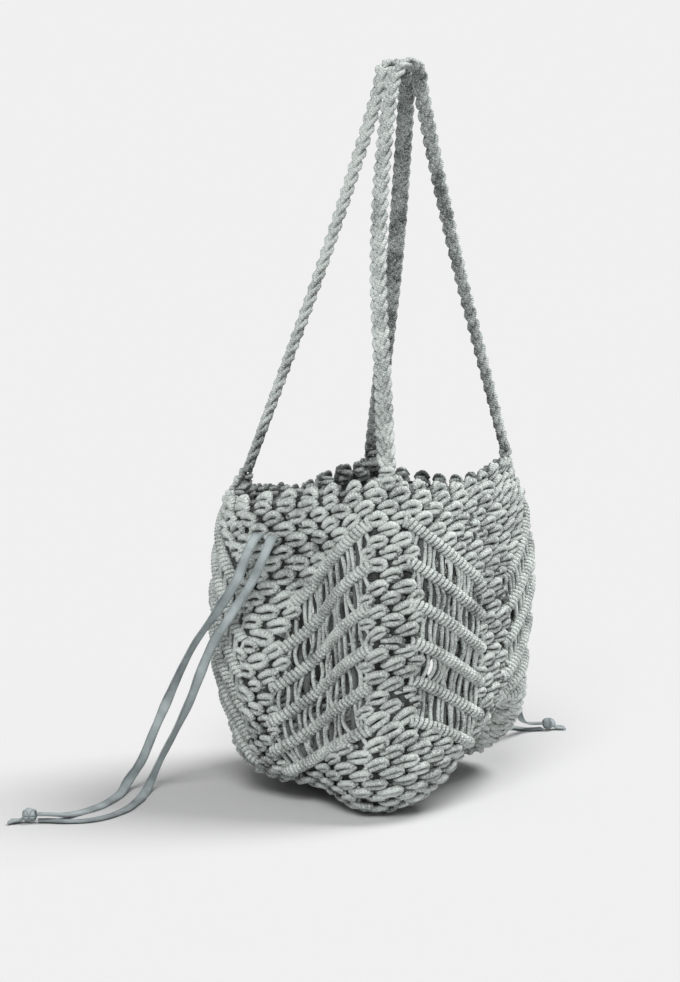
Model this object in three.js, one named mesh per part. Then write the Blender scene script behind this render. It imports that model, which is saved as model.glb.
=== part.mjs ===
// Knotted shoulder tote: a soft hollow body with slanted bars and open ladders, two plaited straps held up
// together at their top, and a flat tape tie at each end. Millimetres, +Z up, the front faces -Y.
// The origin is where the straps hang: the underside of their top bend. The base lies hangHeight below it.
import * as THREE from 'three';
import { mergeVertices } from 'three/addons/utils/BufferGeometryUtils.js';

// Driving dimensions
const hangHeight = 586;        // from the surface under the base up to the underside of the straps
const hangAside = 12;          // the straps are held this far right of and in front of the body's middle
const bodyHeight = 272;        // from the base up to the foot of the front left strap
const bodyReach = 131;         // radius of the body where it is fullest
const rimReach = 108;          // radius of the rim
const wall = 7;                // knotted wall, cord over cord
const baseRounding = 40;       // radius between wall and base
const barRise = 3.5;           // how far a slanted bar stands out of the wall
const barWidth = 10;           // height of a bar along the wall
const barCount = 6;
const firstBarDepth = 34;      // from the foot of the straps down to the first bar, at its high end
const barSpacingHigh = 30.5;   // from bar to bar at their high ends, below the straps
const barSpacingLow = 26.5;    // and at their low ends, in the middle of each side
const barDrop = 54;            // how much lower a bar's low end starts
const peakHeight = 11;         // height of the small points of the rim
const strapPeakHeight = 15;    // height of the broad points that carry the straps
const strapWidth = 17;
const strapThickness = 9;
const strapScallop = 1.2;      // how far the strands of the plait stand out at its edges
const strapFlatShare = 0.62;   // share of its half width over which a strap has its full thickness
const strapEdgeShare = 0.45;   // share of that thickness left at its edges
const hangRadius = 15;         // bend of the straps over whatever holds them
const strapGap = 2;            // between the two straps at the top
const swaySkew = 1.3;          // above 1, the legs sway most above their middle
const bendLean = 0.3;          // share of its sway that a leg keeps where the bend starts
const plaitStep = 10.3;        // from one crossing of the plait to the next
const tapeWidth = 8;
const tapeThickness = 1.8;
const tapeStep = 20;           // from one section of the tape to the next
const tieKnotSize = 12;
const tieEndLength = 13;       // free ends of the tape past the knot
const tapeAboveGround = 0.7;   // underside of the tape where it lies
const clearance = 0.3;         // between pieces that touch

// The pattern goes round the body in eight columns of knots, with a ladder between neighbours.
const knotsAround = 40;
const knotsPerSide = knotsAround / 4;
const frontLeftAngle = -135;   // degrees, where the front left strap stands and the count of knots starts

// Mesh lines across one eighth of the round: in knots, at the rim and along the ladders.
const linesAtRim = [0, 0.5, 1, 1.5, 2, 2.5, 3, 3.5, 4, 4.5];
const linesAtLadder = [0, 0.5, 1.05, 1.8, 2.15, 2.5, 2.85, 3.2, 3.95, 4.5];
const slotCells = [2, 4, 5, 7];        // cells of one eighth that are open between two bars
const ladderFirstLine = 2;
const ladderLastLine = 8;
const knotsPerEighth = 5;
const rowsBelowBars = [0.3, 0.62, 1];   // shares of the way from the last bar to the end of the wall
const lastRowInwards = 0.2;             // where the last row lies on the flat base, as a share of rimReach
const rimBand = 3;                      // unbroken band below the rim's valleys

// Reach of the wall, as a share of bodyReach, by level. Levels are shares of levelHeight.
const levelHeight = 264;
const profile = [
  { level: 0.00, reach: 0.93 },
  { level: 0.20, reach: 0.95 },
  { level: 0.35, reach: 0.985 },
  { level: 0.50, reach: 1.00 },
  { level: 0.65, reach: 0.99 },
  { level: 0.80, reach: 0.955 },
  { level: 0.92, reach: 0.90 },
  { level: 1.00, reach: rimReach / bodyReach },
];

// Folds and bulges: where they are (in knots round from the front left strap, and their level),
// how far they run round (knots) and up (share of levelHeight), and how deep they are (share of bodyReach).
const folds = [
  { name: 'left end folded in', knot: 36.3, level: 0.58, across: 1.6, tall: 0.19, depth: -0.27 },
  { name: 'crease below it', knot: 37.0, level: 0.14, across: 1.0, tall: 0.24, depth: -0.15 },
  { name: 'lobe at the back left', knot: 31.8, level: 0.55, across: 3.0, tall: 0.34, depth: 0.07 },
  { name: 'rim let out at the back left', knot: 33.0, level: 0.90, across: 1.4, tall: 0.16, depth: 0.08 },
  { name: 'belly at the front left', knot: 0.3, level: 0.56, across: 2.2, tall: 0.14, depth: 0.07 },
  { name: 'crease under the belly', knot: 0.6, level: 0.36, across: 2.0, tall: 0.06, depth: -0.07 },
  { name: 'lobe at the front left foot', knot: 39.6, level: 0.14, across: 2.4, tall: 0.14, depth: 0.20 },
  { name: 'front drawn in', knot: 5.0, level: 0.62, across: 2.0, tall: 0.30, depth: -0.05 },
  { name: 'front right drawn in', knot: 10.0, level: 0.40, across: 2.8, tall: 0.16, depth: -0.065 },
  { name: 'front right foot drawn in', knot: 9.5, level: 0.08, across: 2.6, tall: 0.12, depth: -0.04 },
  { name: 'right end drawn in', knot: 15.0, level: 0.65, across: 2.2, tall: 0.28, depth: -0.07 },
  { name: 'right end let out low', knot: 12.6, level: 0.22, across: 2.0, tall: 0.1, depth: 0.06 },
  { name: 'back drawn in', knot: 25.5, level: 0.80, across: 2.6, tall: 0.30, depth: -0.10 },
  { name: 'back left foot drawn in', knot: 30.5, level: 0.10, across: 2.6, tall: 0.12, depth: -0.075 },
];

// How much lower than the foot of the front left strap the rim lies, round the bag in knots. Straps stand at
// 0, 10, 20 and 30.
const rimCurve = [
  { knot: 0, drop: 0 },
  { knot: 1.5, drop: 3.5 },
  { knot: 3, drop: 6 },
  { knot: 4.5, drop: 4 },
  { knot: 6.5, drop: -4 },
  { knot: 8, drop: -6 },
  { knot: 10, drop: -4.5 },
  { knot: 12, drop: 3 },
  { knot: 14, drop: 13 },
  { knot: 16, drop: 18 },
  { knot: 18, drop: 15 },
  { knot: 20, drop: 5 },
  { knot: 22, drop: 13 },
  { knot: 24, drop: 26 },
  { knot: 26, drop: 22 },
  { knot: 28, drop: 20 },
  { knot: 30, drop: 12 },
  { knot: 31.5, drop: 18 },
  { knot: 33, drop: 17 },
  { knot: 35, drop: 9 },
  { knot: 36.5, drop: 6 },
  { knot: 38, drop: 3.5 },
  { knot: 40, drop: 0 },
];

// Where the slack cloth has slipped round (knots) and down (mm), how far round and down it reaches.
const slips = [
  { name: 'left end', knot: 35.6, down: 165, across: 2.2, tall: 75, round: -1.1, lower: 34 },
  { name: 'front left', knot: 0, down: 160, across: 2.5, tall: 80, round: 0.3, lower: 0 },
];

// Where the edge of the base is lifted off the ground by the straps, as a share of levelHeight, and how far
// inwards it comes down to the ground again, as a share of the base's reach.
const liftEnd = 0.8;
const footLifts = [
  { name: 'front right', knot: 7.2, across: 2.8, lift: 0.27 },
  { name: 'back right', knot: 20.0, across: 4.0, lift: 0.10 },
  { name: 'back left', knot: 29.0, across: 2.5, lift: 0.05 },
  { name: 'left end', knot: 34.8, across: 1.9, lift: 0.05 },
];

// Hand-placed routes of the tape tails, millimetres from the middle of the body's base.
const leftOuterRoute = [
  [-126.2, 13.2, 217], [-132.4, 10.3, 216], [-140, 11, 206.7], [-146, 18, 183.1], [-150, 38, 154.3],
  [-153, 58, 129.6], [-154, 72, 109], [-155, 90, 78.2], [-156, 106, 49.4], [-158, 119, 23.7], [-167, 125, 8],
  [-183, 116, 2.2], [-206, 103, 1.6], [-229, 94, 1.6], [-253, 91, 1.8], [-269, 88, 4.2],
  [-281.2, 89.5, 6.6], [-287.2, 94.8, 6.9],
];
const leftInnerRoute = [
  [-121.4, 1.6, 216], [-126.8, -1.1, 214.9], [-134, -2, 205.7], [-140, 7, 182], [-142, 30, 152.2],
  [-142, 50, 127.5], [-141, 64, 104.9], [-141, 79, 76.1], [-143, 93, 51.4], [-148, 107, 24.7], [-156, 110, 8],
  [-171, 101, 2], [-193, 86, 1.6], [-216, 73, 1.6], [-242, 66, 1.6], [-262, 69, 1.6], [-274, 79, 1.7],
  [-281.2, 89.5, 2], [-287.2, 94.8, 2.1],
];
const leftKnotPlace = [-292, 99, 6];
const leftEndsAim = [-0.75, 0.66];
const rightOuterRoute = [
  [117.5, -6, 212.7], [123.5, -6.2, 212.3], [133, -6, 204.7], [143, -4, 189.2], [151, -2, 170.7], [160, 2, 144],
  [171, 7, 111.1], [183, 11, 80.2], [196, 16, 52.4], [210, 21, 30.9], [224, 27, 15.4], [236, 31, 9],
  [245.6, 29.2, 7], [252.5, 25.2, 6.9],
];
const rightInnerRoute = [
  [117.5, 7, 212.7], [123.5, 7.4, 212.3], [132, 10, 204.7], [140, 16, 189.2], [149, 27, 162.5], [161, 41, 125.5],
  [175, 54, 86.4], [192, 64, 49.4], [208, 69, 19.5], [223, 66, 5], [234, 57, 1.6], [239, 46, 1.6],
  [241, 36, 1.7], [245.6, 29.2, 2], [252.5, 25.2, 2.1],
];
const rightKnotPlace = [258, 22, 6];
const rightEndsAim = [0.86, -0.5];

// The two straps: which side of the hang point, where they stand, how far each leg sways from a straight line,
// as shares of hangRadius, and how soon above its foot it has turned from along the rim to along its top bend.
const frontStrap = {
  side: -1, leftKnot: 0, rightKnot: 10, leftSway: [-0.75, 0.3], rightSway: [-0.25, 0.15], leftTurn: 4, rightTurn: 1.2,
};
const backStrap = {
  side: 1, leftKnot: 30, rightKnot: 20, leftSway: [0.3, -0.1], rightSway: [0.3, -0.15], leftTurn: 0.5, rightTurn: 0.5,
};

const bodyCentre = new THREE.Vector3(-hangAside, hangAside, -hangHeight);

const cottonDark = new THREE.MeshStandardMaterial({ color: 0x9aa19f, roughness: 0.9, metalness: 0 });
const cottonPale = new THREE.MeshStandardMaterial({ color: 0xa3aaa8, roughness: 0.9, metalness: 0 });
const tape = new THREE.MeshStandardMaterial({ color: 0xb3bec0, roughness: 0.85, metalness: 0 });

// Value between the rows of a table, along a smooth curve.
function fromTable(table, at, key, value) {
  let row = 0;
  while (row < table.length - 2 && at > table[row + 1][key]) row += 1;
  const share = THREE.MathUtils.clamp((at - table[row][key]) / (table[row + 1][key] - table[row][key]), 0, 1);
  const before = table[Math.max(row - 1, 0)][value];
  const after = table[Math.min(row + 2, table.length - 1)][value];
  const start = table[row][value];
  const end = table[row + 1][value];
  const slopeStart = (end - before) / 2;
  const slopeEnd = (after - start) / 2;
  const square = share * share;
  const cube = square * share;
  return start * (2 * cube - 3 * square + 1) + slopeStart * (cube - 2 * square + share)
    + end * (3 * square - 2 * cube) + slopeEnd * (cube - square);
}

// Distance in knots between two places on the round, the short way.
function knotsBetween(a, b) {
  const apart = THREE.MathUtils.euclideanModulo(a - b, knotsAround);
  return Math.min(apart, knotsAround - apart);
}

function bell(distance) {
  return Math.exp(-0.5 * distance * distance);
}

function angleAt(knot) {
  return THREE.MathUtils.degToRad(frontLeftAngle + (knot * 360) / knotsAround);
}

function rimDrop(knot) {
  return fromTable(rimCurve, THREE.MathUtils.euclideanModulo(knot, knotsAround), 'knot', 'drop');
}

function reachAt(knot, height) {
  const level = height / levelHeight;
  let reach = fromTable(profile, level, 'level', 'reach');
  for (const fold of folds) {
    const beside = knotsBetween(knot, fold.knot) / fold.across;
    reach += fold.depth * bell(beside) * bell((level - fold.level) / fold.tall);
  }
  return reach * bodyReach;
}

function footLift(knot) {
  let lift = 0;
  for (const foot of footLifts) lift += foot.lift * bell(knotsBetween(knot, foot.knot) / foot.across);
  return lift * levelHeight;
}

// Point of the outer face, down along the wall from the foot of the straps, round into the base, then inwards.
function outerPoint(patternKnot, patternDown) {
  let knot = patternKnot;
  let down = patternDown;
  for (const slip of slips) {
    const beside = knotsBetween(patternKnot, slip.knot) / slip.across;
    const share = bell(beside) * bell((patternDown - slip.down) / slip.tall);
    knot += slip.round * share;
    down += slip.lower * share;
  }
  const lift = footLift(knot);
  const straight = bodyHeight - baseRounding - lift;
  const quarter = (baseRounding * Math.PI) / 2;
  let height = bodyHeight - down;
  let reach = reachAt(knot, Math.max(height, baseRounding + lift));
  if (down > straight) {
    const turn = Math.min(down - straight, quarter) / baseRounding;
    const inwards = Math.max(down - straight - quarter, 0) / rimReach;
    height = baseRounding * (1 - Math.sin(turn)) + lift * (1 - THREE.MathUtils.smoothstep(inwards, 0, liftEnd));
    reach = (reach - baseRounding * (1 - Math.cos(turn))) * (1 - inwards);
  }
  const angle = angleAt(knot);
  return new THREE.Vector3(reach * Math.cos(angle), reach * Math.sin(angle), height);
}

function outwards(knot, down) {
  const step = 1;
  const alongRound = outerPoint(knot + step / 4, down).sub(outerPoint(knot - step / 4, down));
  const alongWall = outerPoint(knot, down + step).sub(outerPoint(knot, down - step));
  return alongWall.cross(alongRound).normalize();
}

// 0 below a strap, 1 in the middle of a side: how far a bar has come down.
function barCourse(knot) {
  const fromStrap = knotsBetween(THREE.MathUtils.euclideanModulo(knot, knotsPerSide), 0);
  const sideways = Math.min(fromStrap, knotsPerSide - fromStrap);
  const straight = THREE.MathUtils.clamp((sideways - 0.8) / (knotsPerEighth - 1.6), 0, 1);
  return THREE.MathUtils.smoothstep(sideways, 0, knotsPerEighth) * 0.3 + straight * 0.7;
}

// Rows of the mesh from the rim to the base: how far down each is below a strap (high) and in the middle of a
// side (low). Between one bar's foot and the next bar's top the ladders are open.
function bodyRows() {
  const rows = [{ kind: 'rim' }, { kind: 'below rim' }, { kind: 'above bars' }];
  for (let bar = 0; bar < barCount; bar += 1) {
    const high = firstBarDepth + bar * barSpacingHigh;
    const low = firstBarDepth + barDrop + bar * barSpacingLow;
    rows.push({ kind: 'bar top', high, low });
    rows.push({ kind: 'bar crest', high: high + barWidth / 2, low: low + barWidth / 2 });
    rows.push({ kind: 'bar foot', high: high + barWidth, low: low + barWidth, slotsBelow: bar < barCount - 1 });
  }
  const last = rows[rows.length - 1];
  const wallEnd = bodyHeight - baseRounding + (baseRounding * Math.PI) / 2;
  for (const share of rowsBelowBars) {
    rows.push({
      kind: 'plain',
      high: THREE.MathUtils.lerp(last.high, wallEnd, share),
      low: THREE.MathUtils.lerp(last.low, wallEnd, share),
    });
  }
  rows.push({ kind: 'plain', high: wallEnd + lastRowInwards * rimReach, low: wallEnd + lastRowInwards * rimReach });
  return rows;
}

// Height of the rim's points above its valleys: broad and flat below a strap, small ones elsewhere.
function peakAt(line) {
  const perSide = linesAtRim.length * 2;
  const place = line % perSide;
  if (place <= 1 || place === perSide - 1) return strapPeakHeight;
  return line % 2 === 1 ? peakHeight : 0;
}

// Where a mesh line runs, in knots. Every second eighth is the mirror of the one before.
function knotOfLine(line, lines) {
  const eighth = Math.floor(line / lines.length);
  const place = line % lines.length;
  const mirrored = eighth % 2 === 1 && place > 0;
  return eighth * knotsPerEighth + (mirrored ? knotsPerEighth - lines[lines.length - place] : lines[place]);
}

// How far down along the wall a row lies on a mesh line.
function rowDown(row, firstBar, line, knot) {
  const course = barCourse(knot);
  const rimBandEnd = rimDrop(knot) + strapPeakHeight + rimBand;
  if (row.kind === 'below rim') return rimBandEnd;
  const firstBarStart = THREE.MathUtils.lerp(firstBar.high, firstBar.low, course);
  if (row.kind === 'above bars') return (rimBandEnd + firstBarStart) / 2;
  if (row.kind !== 'rim') return THREE.MathUtils.lerp(row.high, row.low, course);
  const peak = peakAt(line);
  const flatTopKnot = Math.round(knot / knotsPerSide) * knotsPerSide;
  return rimDrop(peak === strapPeakHeight ? flatTopKnot : knot) + strapPeakHeight - peak;
}

// Closed shell of the body: an outer and an inner face on the same lines, joined at the rim and in each opening.
function bodyGeometry() {
  const rows = bodyRows();
  const firstBar = rows.find((row) => row.kind === 'bar top');
  const across = linesAtRim.length * 8;
  const outer = [];
  const inner = [];
  for (const row of rows) {
    for (let line = 0; line < across; line += 1) {
      const knot = knotOfLine(line, row.kind === 'rim' ? linesAtRim : linesAtLadder);
      const down = rowDown(row, firstBar, line, knot);
      const face = outerPoint(knot, down);
      const out = outwards(knot, down);
      const place = line % linesAtRim.length;
      const onBar = place >= ladderFirstLine && place <= ladderLastLine;
      const rise = row.kind === 'bar crest' && onBar ? barRise : 0;
      inner.push(face.clone().addScaledVector(out, -wall));
      outer.push(face.addScaledVector(out, rise));
    }
  }
  const open = (r, line) => {
    if (r < 0 || r >= rows.length - 1) return true;
    return rows[r].slotsBelow === true && slotCells.includes(line % linesAtRim.length);
  };
  const positions = [];
  const quad = (a, b, c, d) => {
    addTriangle(positions, a, b, c);
    addTriangle(positions, a, c, d);
  };
  const index = (r, line) => r * across + (line % across);
  for (let r = 0; r < rows.length - 1; r += 1) {
    for (let line = 0; line < across; line += 1) {
      if (open(r, line)) continue;
      const corners = [index(r, line), index(r + 1, line), index(r + 1, line + 1), index(r, line + 1)];
      quad(...corners.map((i) => outer[i]));
      quad(...corners.map((i) => inner[i]).reverse());
      if (open(r - 1, line)) quad(outer[corners[3]], inner[corners[3]], inner[corners[0]], outer[corners[0]]);
      if (r < rows.length - 2 && open(r + 1, line)) {
        quad(outer[corners[1]], inner[corners[1]], inner[corners[2]], outer[corners[2]]);
      }
      const left = (line + across - 1) % across;
      if (open(r, left)) quad(outer[corners[0]], inner[corners[0]], inner[corners[1]], outer[corners[1]]);
      if (open(r, (line + 1) % across)) {
        quad(outer[corners[2]], inner[corners[2]], inner[corners[3]], outer[corners[3]]);
      }
    }
  }
  const outerMiddle = new THREE.Vector3(0, 0, 0);
  const innerMiddle = new THREE.Vector3(0, 0, wall);
  for (let line = 0; line < across; line += 1) {
    const here = index(rows.length - 1, line);
    const next = index(rows.length - 1, line + 1);
    addTriangle(positions, outer[here], outerMiddle, outer[next]);
    addTriangle(positions, inner[next], innerMiddle, inner[here]);
  }
  return closed(positions);
}

function addTriangle(positions, a, b, c) {
  positions.push(a.x, a.y, a.z, b.x, b.y, b.z, c.x, c.y, c.z);
}

function closed(positions) {
  const geometry = new THREE.BufferGeometry();
  geometry.setAttribute('position', new THREE.Float32BufferAttribute(positions, 3));
  const merged = mergeVertices(geometry, 1e-3);
  merged.computeVertexNormals();
  return merged;
}

// Closed band through a list of sections, each a ring of as many points.
function bandGeometry(sections) {
  const positions = [];
  const sides = sections[0].length;
  for (let s = 0; s < sections.length - 1; s += 1) {
    for (let side = 0; side < sides; side += 1) {
      const next = (side + 1) % sides;
      addTriangle(positions, sections[s][side], sections[s][next], sections[s + 1][next]);
      addTriangle(positions, sections[s][side], sections[s + 1][next], sections[s + 1][side]);
    }
  }
  const first = sections[0];
  const last = sections[sections.length - 1];
  for (let side = 1; side < sides - 1; side += 1) {
    addTriangle(positions, first[0], first[side + 1], first[side]);
    addTriangle(positions, last[0], last[side], last[side + 1]);
  }
  return closed(positions);
}

// Where a strap stands on the rim: in the middle of the wall, on the flat top of a broad point.
function strapFoot(knot) {
  const top = rimDrop(knot);
  const foot = outerPoint(knot, top).addScaledVector(outwards(knot, top), -wall / 2);
  foot.z = bodyHeight - top + clearance;
  return foot.add(bodyCentre);
}

// Middle line of a strap: up from the rim, over the bend and down again. Each leg sways a little aside, most of
// all a little above its middle, and the bend leans with it.
function strapLine(strap) {
  const topY = (strap.side * (strapWidth + strapGap)) / 2;
  const bendTop = strapThickness / 2 - hangRadius;
  const swayed = (point, sway, much) => {
    return point.add(new THREE.Vector3(sway[0], sway[1], 0).multiplyScalar(much * hangRadius));
  };
  const leg = (foot, end, sway) => [0, 0.25, 0.5, 0.75, 1].map((share) => {
    const point = foot.clone().lerp(new THREE.Vector3(end * hangRadius, topY, bendTop), share);
    const belly = Math.sin(Math.PI * Math.pow(share, swaySkew));
    return swayed(point, sway, belly + bendLean * Math.pow(share, 4));
  });
  const left = leg(strapFoot(strap.leftKnot), -1, strap.leftSway);
  const right = leg(strapFoot(strap.rightKnot), 1, strap.rightSway);
  const bend = [150, 120, 90, 60, 30].map((turn) => {
    const angle = THREE.MathUtils.degToRad(turn);
    const point = new THREE.Vector3(hangRadius * Math.cos(angle), topY, bendTop + hangRadius * Math.sin(angle));
    return swayed(point, turn > 90 ? strap.leftSway : strap.rightSway, (1 - Math.sin(angle)) * bendLean);
  });
  return new THREE.CatmullRomCurve3([...left, ...bend, ...right.reverse()], false, 'centripetal');
}

// A flat plait: an eight-sided section whose edges swell in turn where the strands come round. The band's flat
// side follows the rim at the foot and lies flat over the bend.
function strapGeometry(strap) {
  const line = strapLine(strap);
  const steps = Math.round(line.getLength() / plaitStep);
  const sections = [];
  for (let step = 0; step <= steps; step += 1) {
    const share = step / steps;
    const centre = line.getPointAt(share);
    const along = line.getTangentAt(share);
    const nearFoot = Math.pow(Math.abs(2 * share - 1), share < 0.5 ? strap.leftTurn : strap.rightTurn);
    const turn = ((nearFoot * Math.PI) / 4) * Math.sign(0.5 - share) * strap.side;
    const flat = new THREE.Vector3(Math.sin(turn), Math.cos(turn), 0);
    if (step === 0 || step === steps) along.set(0, 0, step === 0 ? 1 : -1);
    flat.addScaledVector(along, -flat.dot(along)).normalize();
    const thick = along.clone().cross(flat).normalize();
    const swell = step % 2 === 0 ? strapScallop : -strapScallop;
    const halfWidth = strapWidth / 2 - strapScallop;
    const flatHalf = halfWidth * strapFlatShare;
    const ring = [
      [halfWidth + swell, strapEdgeShare], [flatHalf, 1], [-flatHalf, 1], [-halfWidth + swell, strapEdgeShare],
      [-halfWidth + swell, -strapEdgeShare], [-flatHalf, -1], [flatHalf, -1], [halfWidth + swell, -strapEdgeShare],
    ];
    sections.push(ring.map(([w, t]) => centre.clone().addScaledVector(flat, w)
      .addScaledVector(thick, (t * strapThickness) / 2)));
  }
  return bandGeometry(sections);
}

// A tape tail: an eight-sided flat section along its route, turned so that it ends flat on the ground.
function tapeGeometry(route) {
  const points = route.map(([x, y, z]) => new THREE.Vector3(x, y, z).add(bodyCentre));
  const line = new THREE.CatmullRomCurve3(points, false, 'centripetal');
  const steps = Math.round(line.getLength() / tapeStep);
  const frames = line.computeFrenetFrames(steps, false);
  const normal = frames.normals[steps];
  const binormal = frames.binormals[steps];
  const turn = Math.atan2(-normal.z, binormal.z);
  const section = new THREE.Shape();
  const outline = [
    [0.5, 0.25], [0.38, 0.5], [-0.38, 0.5], [-0.5, 0.25], [-0.5, -0.25], [-0.38, -0.5], [0.38, -0.5], [0.5, -0.25],
  ];
  outline.forEach(([w, t], i) => {
    const along = w * tapeWidth;
    const through = t * tapeThickness;
    const x = along * Math.cos(turn) - through * Math.sin(turn);
    const y = along * Math.sin(turn) + through * Math.cos(turn);
    if (i === 0) section.moveTo(x, y);
    else section.lineTo(x, y);
  });
  section.closePath();
  return new THREE.ExtrudeGeometry(section, { steps, bevelEnabled: false, extrudePath: line });
}

// A knot in the tape: a rounded lump with two flat ends that spread out on the ground.
function tieKnotGeometry(place, aim) {
  const centre = new THREE.Vector3(...place).add(bodyCentre);
  const forward = new THREE.Vector3(aim[0], aim[1], 0).normalize();
  const sideways = new THREE.Vector3(-forward.y, forward.x, 0);
  const up = new THREE.Vector3(0, 0, 1);
  const ground = tapeAboveGround - place[2];
  const rows = [
    { along: -0.5, width: 0.35, low: -0.25, high: 0.25 },
    { along: -0.25, width: 0.8, low: -0.4, high: 0.48 },
    { along: 0.2, width: 0.85, low: -0.4, high: 0.5 },
    { along: 0.5, width: 0.55, low: -0.42, high: 0.1 },
  ];
  const sections = rows.map((row) => ringAt(row.along * tieKnotSize, (row.width * tieKnotSize) / 2,
    Math.max(row.low * tieKnotSize, ground), row.high * tieKnotSize));
  for (const [share, half] of [[0.5, tapeWidth * 0.75], [1, tapeWidth]]) {
    sections.push(ringAt(tieKnotSize / 2 + tieEndLength * share, half, ground, ground + tapeThickness));
  }
  function ringAt(along, half, low, high) {
    const middle = (low + high) / 2;
    const outline = [[1, middle], [0.7, high], [-0.7, high], [-1, middle], [-0.7, low], [0.7, low]];
    return outline.map(([w, z]) => centre.clone().addScaledVector(forward, along)
      .addScaledVector(sideways, w * half).addScaledVector(up, z));
  }
  return bandGeometry(sections);
}

const tote = new THREE.Group();

function add(name, geometry, material) {
  const mesh = new THREE.Mesh(geometry, material);
  mesh.name = name;
  tote.add(mesh);
  return mesh;
}

add('bag_body', bodyGeometry(), cottonDark).position.copy(bodyCentre);
add('strap_front', strapGeometry(frontStrap), cottonPale);
add('strap_back', strapGeometry(backStrap), cottonPale.clone());
add('tie_left_outer', tapeGeometry(leftOuterRoute), tape);
add('tie_left_inner', tapeGeometry(leftInnerRoute), tape.clone());
add('tie_left_knot', tieKnotGeometry(leftKnotPlace, leftEndsAim), tape.clone());
add('tie_right_outer', tapeGeometry(rightOuterRoute), tape.clone());
add('tie_right_inner', tapeGeometry(rightInnerRoute), tape.clone());
add('tie_right_knot', tieKnotGeometry(rightKnotPlace, rightEndsAim), tape.clone());

export default tote;
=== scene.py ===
import math
import bpy
import numpy as np
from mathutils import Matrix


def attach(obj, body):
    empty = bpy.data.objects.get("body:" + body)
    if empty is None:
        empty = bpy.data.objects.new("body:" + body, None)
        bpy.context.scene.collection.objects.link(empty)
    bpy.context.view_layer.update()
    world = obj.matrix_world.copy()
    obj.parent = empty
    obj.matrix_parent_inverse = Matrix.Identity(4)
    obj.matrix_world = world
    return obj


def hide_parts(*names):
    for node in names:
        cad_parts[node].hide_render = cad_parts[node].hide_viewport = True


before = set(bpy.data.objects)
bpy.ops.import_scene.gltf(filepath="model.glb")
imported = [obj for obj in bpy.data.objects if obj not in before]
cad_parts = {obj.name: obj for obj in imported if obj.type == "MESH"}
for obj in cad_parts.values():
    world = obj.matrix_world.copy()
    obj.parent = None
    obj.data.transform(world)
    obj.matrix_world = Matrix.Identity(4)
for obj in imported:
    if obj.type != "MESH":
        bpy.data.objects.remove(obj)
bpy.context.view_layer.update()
rng = np.random.default_rng(11)

# The camera stands at the front left corner of the bag and looks slightly down.
cameraSetup = {
    "place": (-1.4234, -1.2604, -0.147),   # metres
    "turn": -47.0,                         # degrees from straight ahead
    "down": 5.9,
    "lens": 85.0,
}


def addCamera(setup):
    turn = (math.radians(90 - setup["down"]), 0, math.radians(setup["turn"]))
    bpy.ops.object.camera_add(location=setup["place"], rotation=turn)
    camera = bpy.context.object
    camera.data.lens = setup["lens"]
    camera.data.sensor_width = 36
    bpy.context.scene.camera = camera


addCamera(cameraSetup)

# Lengths below are in millimetres, and turned into metres where a mesh is made.


def between(start, end, share):
    return start + (end - start) * share


def smoothStep(value, low, high):
    share = np.clip((value - low) / (high - low), 0, 1)
    return share * share * (3 - 2 * share)


def bell(distance):
    return np.exp(-0.5 * distance * distance)


def unit(vectors):
    return vectors / np.linalg.norm(vectors, axis=-1, keepdims=True)


def hermite(start, end, slopeStart, slopeEnd, share):
    # The smooth way from start to end with these slopes.
    square, cube = share ** 2, share ** 3
    return (start * (2 * cube - 3 * square + 1) + slopeStart * (cube - 2 * square + share)
            + end * (3 * square - 2 * cube) + slopeEnd * (cube - square))


def lengthAlong(path):
    # How far along the path each of its points is.
    return np.concatenate([[0], np.cumsum(np.linalg.norm(np.diff(path, axis=0), axis=1))])


def pointsAt(path, length, at):
    return np.stack([np.interp(at, length, path[:, i]) for i in range(3)], axis=1)


def smoothCurve(points, stepLength):
    # A curve through all the points, as three.js draws it, in even steps.
    points = np.array(points, float)
    points = np.vstack([2 * points[0] - points[1], points, 2 * points[-1] - points[-2]])
    shares = np.linspace(0, 1, 17)[:-1, None]
    pieces = []
    for i in range(1, len(points) - 2):
        before, start, end, after = points[i - 1:i + 3]
        gapBefore, gap, gapAfter = [max(np.linalg.norm(b - a), 1e-6) ** 0.5
                                    for a, b in ((before, start), (start, end), (end, after))]
        slopeStart = gap * ((start - before) / gapBefore - (end - before) / (gapBefore + gap)
                            + (end - start) / gap)
        slopeEnd = gap * ((end - start) / gap - (after - start) / (gap + gapAfter)
                          + (after - end) / gapAfter)
        pieces.append(hermite(start, end, slopeStart, slopeEnd, shares))
    curve = np.vstack(pieces + [points[-2:-1]])
    along = lengthAlong(curve)
    steps = max(int(round(along[-1] / stepLength)), 4)
    return pointsAt(curve, along, np.linspace(0, along[-1], steps + 1))


def tangents(points):
    # Direction of travel at each point; the last but one axis runs along the cord.
    ahead = np.concatenate([points[..., 1:, :], points[..., -1:, :]], axis=-2)
    behind = np.concatenate([points[..., :1, :], points[..., :-1, :]], axis=-2)
    return unit(ahead - behind)


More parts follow.
